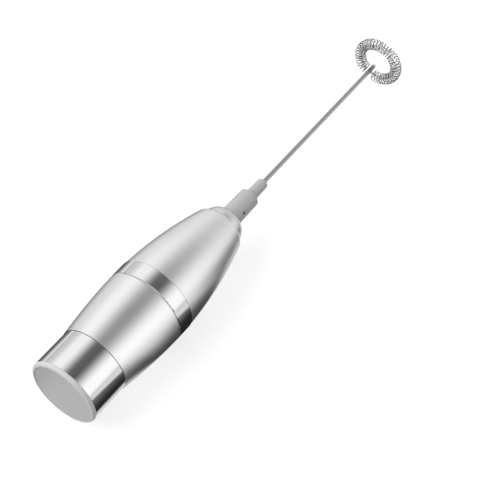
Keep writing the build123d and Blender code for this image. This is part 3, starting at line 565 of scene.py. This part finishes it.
def bent_wire(name, knots, radius_mm, smoothness, body, slot, node_name):
    """Round wire along knots of (point in mm, direction), as a mesh that stands for a node."""
    curve = bpy.data.curves.new(name, "CURVE")
    curve.dimensions = "3D"
    curve.bevel_depth = radius_mm * MM
    curve.bevel_resolution = WIRE_ROUNDNESS
    curve.resolution_u = smoothness
    curve.use_fill_caps = True
    spline = curve.splines.new("BEZIER")
    spline.bezier_points.add(len(knots) - 1)
    for knot, (point, _) in zip(spline.bezier_points, knots):
        knot.handle_left_type = knot.handle_right_type = "FREE"
        knot.co = knot.handle_left = knot.handle_right = point * MM
    for i, ((start, start_way), (end, end_way)) in enumerate(zip(knots, knots[1:])):
        half_turn = start_way.angle(end_way) / 2
        span = (end - start).length * MM
        reach = span / 3
        if half_turn > STRAIGHT:
            reach *= 2 * math.tan(half_turn / 2) / math.sin(half_turn)
        spline.bezier_points[i].handle_right += start_way.normalized() * reach
        spline.bezier_points[i + 1].handle_left -= end_way.normalized() * reach
    drawn = bpy.data.objects.new(name, curve)
    bpy.context.scene.collection.objects.link(drawn)
    bpy.context.view_layer.update()
    bm = bmesh.new()
    bm.from_mesh(bpy.data.meshes.new_from_object(drawn.evaluated_get(bpy.context.evaluated_depsgraph_get())))
    bpy.data.objects.remove(drawn)
    bmesh.ops.remove_doubles(bm, verts=bm.verts, dist=WELD)
    return add_piece(name, bm, body, slot, node_name)


# %% [markdown]
# The wire leaves the coupling along the axis, bends into a slanting spoke, and goes round the ring almost to its
# own start. A ring station is an angle from the spoke.

# %% Bent wire
WIRE_RADIUS = 1.0
WIRE_START = Vector((121.5, 0, 0))
HUB = Vector((223.8, 0, 0))
RING_CENTRE = Vector((227.0, 0, 0))
RING_RADIUS = 9.72
SPOKE_ANGLE = 297.0
SPOKE_BEND = 1.8
RIM_BEND = 2.2
RING_START, RING_END = 14.0, 350.5
RING_KNOTS = 18
RING_SMOOTHNESS = 12
AXIS = Vector((1, 0, 0))


def ring_way(turn):
    """Direction from the axis out to the ring, at an angle from the spoke."""
    angle = math.radians(SPOKE_ANGLE - turn)
    return Vector((0, math.cos(angle), math.sin(angle)))


def ring_point(turn):
    """Point on the ring's centre line."""
    return RING_CENTRE + ring_way(turn) * RING_RADIUS


spoke = (ring_point(0) - HUB).normalized()
wire_knots = [
    (WIRE_START, AXIS),
    (HUB - AXIS * SPOKE_BEND, AXIS),
    (HUB + spoke * SPOKE_BEND, spoke),
    (ring_point(0) - spoke * RIM_BEND, spoke),
]
for i in range(RING_KNOTS + 1):
    turn = RING_START + (RING_END - RING_START) * i / RING_KNOTS
    wire_knots.append((ring_point(turn), ring_way(turn + 90)))
bent_wire("whisk_frame", wire_knots, WIRE_RADIUS, RING_SMOOTHNESS, "whisk", "stainless_wire", "whisk_wire")

# %% [markdown]
# The coil winds round the ring in 39 turns, with a gap between turns that milk is drawn through, and its ends are
# bent in to the ring. Eight knots to a turn follow the winding closely.

# %% Wound coil
COIL_WIRE = 0.48
COIL_RADIUS = 2.45
COIL_TURNS = 39
COIL_START, COIL_END = 13.5, 349.0
COIL_KNOTS = 8
COIL_SMOOTHNESS = 3
LEG_BEND = 0.65
LEG_PHASE = 20.0
LEG_BITE = 0.05


def coil_way(turn, phase):
    """Direction from the ring's centre line out to the coil, at an angle of its winding."""
    angle = math.radians(phase)
    return ring_way(turn) * math.cos(angle) + AXIS * math.sin(angle)


def coil_point(share):
    """Point on the coil's centre line, from its start at 0 to its end at 1."""
    turn = COIL_START + (COIL_END - COIL_START) * share
    return ring_point(turn) + coil_way(turn, 360 * COIL_TURNS * share) * COIL_RADIUS


def coil_leg(share, side):
    """Knots of a coil end that is bent in to the ring, from the foot outwards."""
    turn = COIL_START + (COIL_END - COIL_START) * share
    outward = coil_way(turn, 360 * COIL_TURNS * share + side * LEG_PHASE)
    return [(ring_point(turn) + outward * (WIRE_RADIUS + reach), outward) for reach in (-LEG_BITE, LEG_BEND)]


coil_knots = coil_leg(0, -1) + knots_along(coil_point, COIL_TURNS * COIL_KNOTS)
coil_knots += [(point, -outward) for point, outward in reversed(coil_leg(1, 1))]
bent_wire("whisk_winding", coil_knots, COIL_WIRE / 2, COIL_SMOOTHNESS, "whisk", "spring_steel", "whisk_coil")

# %% [markdown]
# ## Spring under the button
# The button's return spring is a two-turn helix with a straight leg at each end, between the button's floor and the
# collar's partition. As the button goes in, the spring is pressed together towards the partition.

# %% Button spring
SPRING_FROM, SPRING_TO = BUTTON_FLOOR, PARTITION_FROM
SPRING_RADIUS = 5.2
SPRING_WIRE = 0.6
SPRING_TURNS = 2
SPRING_KNOTS = 8
SPRING_SMOOTHNESS = 6
LEG_LENGTH = 0.95


def spring_point(share):
    """Point on the spring's centre line, from its start at 0 to its end at 1."""
    angle = math.tau * SPRING_TURNS * share
    x = SPRING_FROM + 2 * SPRING_WIRE + (SPRING_TO - SPRING_FROM - 4 * SPRING_WIRE) * share
    return Vector((x, SPRING_RADIUS * math.cos(angle), SPRING_RADIUS * math.sin(angle)))


bend = Vector((SPRING_WIRE, 0, SPRING_WIRE))
leg = AXIS * SPRING_WIRE * LEG_LENGTH
spring_knots = [(spring_point(0) - bend - leg, AXIS), (spring_point(0) - bend, AXIS)]
spring_knots += knots_along(spring_point, SPRING_TURNS * SPRING_KNOTS)
spring_knots += [(spring_point(1) + bend, AXIS), (spring_point(1) + bend + leg, AXIS)]
press_spring = bent_wire("press_spring", spring_knots, SPRING_WIRE / 2, SPRING_SMOOTHNESS, "battery_cover",
                         "spring_steel", "button_spring")
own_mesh(press_spring)

# %% [markdown]
# ## Studio
# Polished metal has no colour of its own: it shows the room. So the room is laid out for what the barrel mirrors.
# Its walls and ceiling bend round the handle like a tunnel, and how bright they are depends on the angle about the
# handle's axis: a long soft box on the far side, another on the near side, and a dark gap overhead that draws the
# grey band along the metal. The tunnel turns evenly pale towards the whisk, and dimmer behind the tail. Dull surfaces
# get an even fill in its place, which keeps the plastic and the floor free of its stripes. Which of the two a ray
# meets depends on its kind, so the room isn't sampled as a lamp: it counts only for rays that reach it.

# %% Room of light
ROOM_WHITE = 1.65
ROOM = [
    # angle about the axis in degrees from the far side, over the top to the near side; share of the room's white
    (-180, 0.9), (-140, 0.6), (-40, 0.6), (0, 0.5), (18, 0.61), (40, 0.9), (56, 0.9), (93, 0.12), (107, 0.1),
    (154, 1.0), (170, 1.0), (180, 0.9),
]
ROOM_ENDS = [
    # share of white at that end, and where along the axis the walls begin and end to turn into it
    (0.58, 0.4, 0.95),
    (0.6, -0.2, -0.6),
]
FILL = 0.55

world = bpy.data.worlds.new("studio")
bpy.context.scene.world = world
world.use_nodes = True
tree = world.node_tree
way = node(tree, "ShaderNodeTexCoord").outputs["Generated"]
way = node(tree, "ShaderNodeSeparateXYZ", {"Vector": way}).outputs
angle = node(tree, "ShaderNodeMath", {0: way["Z"], 1: way["Y"]}, operation="ARCTAN2")
place = node(tree, "ShaderNodeMapRange", {"Value": angle.outputs[0], "From Min": -math.pi, "From Max": math.pi})
wall = node(tree, "ShaderNodeValToRGB", {"Fac": place.outputs[0]},
            stops=[((degrees + 180) / 360, share) for degrees, share in ROOM])
for share, start, stop in ROOM_ENDS:
    fade = node(tree, "ShaderNodeMapRange", {"Value": way["X"], "From Min": start, "From Max": stop},
                interpolation_type="SMOOTHSTEP")
    wall = node(tree, "ShaderNodeMix", {"Factor": fade.outputs[0], "A": wall.outputs[0], "B": share})
light = node(tree, "ShaderNodeMath", {0: wall.outputs[0], 1: ROOM_WHITE}, operation="MULTIPLY")
dull_ray = node(tree, "ShaderNodeLightPath").outputs["Is Diffuse Ray"]
light = node(tree, "ShaderNodeMix", {"Factor": dull_ray, "A": light.outputs[0], "B": FILL})
world.cycles.sampling_method = "NONE"
tree.links.new(light.outputs[0], tree.nodes["Background"].inputs["Strength"])
tree.nodes["Background"].inputs["Color"].default_value = (1, 1, 1, 1)
print("room of light with", len(ROOM), "angles")

# %% [markdown]
# One large lamp behind the tail, high on the far side, models the grey plastic: it lights the rim and the top of the
# coupling, leaves their near side darker, and casts the shadow on the floor. Mirrors don't show it, so no view has a
# hard white square on the chrome.

# %% Key lamp
KEY_WAY = Vector((-0.42, 0.5, 0.76)).normalized()
KEY_DISTANCE = 1.1
KEY_SIDE = 1.0
KEY_POWER = 9.5

key = bpy.data.objects.new("key", bpy.data.lights.new("key", "AREA"))
key.data.size = KEY_SIDE
key.data.energy = KEY_POWER
key.location = KEY_WAY * KEY_DISTANCE
key.rotation_euler = KEY_WAY.to_track_quat("Z", "Y").to_euler()
key.visible_glossy = False
bpy.context.scene.collection.objects.link(key)
print("key lamp at", [round(c, 2) for c in key.location])

# %% [markdown]
# The floor is white to the camera and to mirrors, and keeps the frother's shadow. Its paper is grey, and the rest of
# its white is a glow that only they see, so that it throws little light up at the frother. Black cards beside the
# handle, which only mirrors see, give the metal its dark lower edges, as black flags do in a photographer's studio.
# They are one sheet. A clear strip with a soft edge, next to the handle, leaves a pale line under the dark one, then
# comes full black, and then the black fades with the distance from the axis. Beyond the nose it fades out altogether.
# The far card is the same all along. On the near one the strip, the start of the fade and its length change along the
# handle, as the collar, the band and the sleeves each want another edge.

# %% Floor and cards
FLOOR_Z = cad_box[0].z
FLOOR_SIDE = 6.0
FLOOR_GAP = 0.002 * MM
FLOOR_GLOW = 0.7
CARD_X = (-0.1, 0.3)
CARD_FADE = (0.14, 0.28)
CARD_Y = 0.25
CARD = [
    # distance beyond the start of the fade as a share of its length; how black the card is there
    (0.07, 0.99), (0.12, 0.95), (0.16, 0.9), (0.27, 0.8), (0.4, 0.57), (0.55, 0.3), (0.8, 0.0),
]
CARD_EDGE = (0.005, 0.012)
FAR_CLEAR = 0.01
NEAR_CLEAR = [
    # place along the axis and width of the clear strip between the handle and the near card, in metres
    (0.024, 0.013), (0.06, 0.001), (0.11, 0.016),
]
NEAR_START = [
    # place along the axis and distance from it where the near card's black starts to fade, in metres
    (0.03, 0.013), (0.045, 0.02), (0.06, 0.028), (0.08, 0.028), (0.1, 0.016), (0.12, 0.026),
]
NEAR_REACH = [
    # place along the axis and length of the near card's fade there, in metres
    (0.034, CARD_Y), (0.047, 0.07), (0.056, 0.06), (0.066, 0.11), (0.078, 0.14), (0.088, 0.095), (0.1, 0.075),
    (0.118, 0.11), (0.15, 0.25),
]


def sheet_of(name, finish, x_range, y_range, height):
    """A level rectangle of the studio."""
    bm = bmesh.new()
    bmesh.ops.create_grid(bm, x_segments=1, y_segments=1, size=0.5)
    size = Vector((x_range[1] - x_range[0], y_range[1] - y_range[0], 1))
    bmesh.ops.scale(bm, vec=size, verts=bm.verts)
    bmesh.ops.translate(bm, vec=(sum(x_range) / 2, sum(y_range) / 2, height), verts=bm.verts)
    mesh = bpy.data.meshes.new(name)
    bm.to_mesh(mesh)
    bm.free()
    mesh.materials.append(finish)
    sheet = bpy.data.objects.new(name, mesh)
    bpy.context.scene.collection.objects.link(sheet)
    return sheet


paper, tree, shader = new_finish("white_paper")
shader.inputs["Base Color"].default_value = linear("#b4b4b4")
shader.inputs["Roughness"].default_value = 1.0
shader.inputs["Specular IOR Level"].default_value = 0.0
rays = node(tree, "ShaderNodeLightPath").outputs
seen = node(tree, "ShaderNodeMath", {0: rays["Is Camera Ray"], 1: rays["Is Glossy Ray"]}, operation="MAXIMUM")
seen = node(tree, "ShaderNodeMath", {0: seen.outputs[0], 1: rays["Is Transmission Ray"]}, operation="MAXIMUM")
glow = node(tree, "ShaderNodeMath", {0: seen.outputs[0], 1: FLOOR_GLOW}, operation="MULTIPLY")
shader.inputs["Emission Color"].default_value = (1, 1, 1, 1)
tree.links.new(glow.outputs[0], shader.inputs["Emission Strength"])
floor_range = (-FLOOR_SIDE / 2, FLOOR_SIDE / 2)
sheet_of("floor", paper, floor_range, floor_range, FLOOR_Z - FLOOR_GAP)

black_card, tree, shader = new_finish("black_cards")
shader.inputs["Base Color"].default_value = linear("#202020")
shader.inputs["Roughness"].default_value = 1.0
place = node(tree, "ShaderNodeTexCoord").outputs["Object"]
place = node(tree, "ShaderNodeSeparateXYZ", {"Vector": place}).outputs
near = node(tree, "ShaderNodeMath", {0: place["Y"], 1: 0.0}, operation="LESS_THAN")
clear, start, reach = [
    node(tree, "ShaderNodeMix", {
        "Factor": near.outputs[0], "A": far_value,
        "B": node(tree, "ShaderNodeValToRGB", {"Fac": place["X"]}, stops=near_values).outputs[0],
    })
    for far_value, near_values in ((FAR_CLEAR, NEAR_CLEAR), (FAR_CLEAR, NEAR_START), (CARD_Y, NEAR_REACH))
]
aside = node(tree, "ShaderNodeMath", {0: place["Y"]}, operation="ABSOLUTE")
beyond = node(tree, "ShaderNodeMath", {0: aside.outputs[0], 1: clear.outputs[0]}, operation="SUBTRACT")
edge = node(tree, "ShaderNodeMapRange", {"Value": beyond.outputs[0], "From Min": CARD_EDGE[0],
                                         "From Max": CARD_EDGE[1]}, interpolation_type="SMOOTHSTEP")
beyond = node(tree, "ShaderNodeMath", {0: aside.outputs[0], 1: start.outputs[0]}, operation="SUBTRACT")
share = node(tree, "ShaderNodeMath", {0: beyond.outputs[0], 1: reach.outputs[0]}, operation="DIVIDE")
black = node(tree, "ShaderNodeValToRGB", {"Fac": share.outputs[0]}, stops=CARD)
black = node(tree, "ShaderNodeMath", {0: edge.outputs[0], 1: black.outputs[0]}, operation="MULTIPLY")
along = node(tree, "ShaderNodeMapRange", {"Value": place["X"], "From Min": CARD_FADE[0], "From Max": CARD_FADE[1],
                                          "To Min": 1.0, "To Max": 0.0}, interpolation_type="SMOOTHSTEP")
black = node(tree, "ShaderNodeMath", {0: black.outputs[0], 1: along.outputs[0]}, operation="MULTIPLY")
tree.links.new(black.outputs[0], shader.inputs["Alpha"])
card = sheet_of("cards", black_card, CARD_X, (-CARD_Y, CARD_Y), FLOOR_Z - FLOOR_GAP / 2)
card.visible_camera = card.visible_diffuse = card.visible_shadow = card.visible_transmission = False
print("floor at", round(FLOOR_Z / MM, 3), "mm")
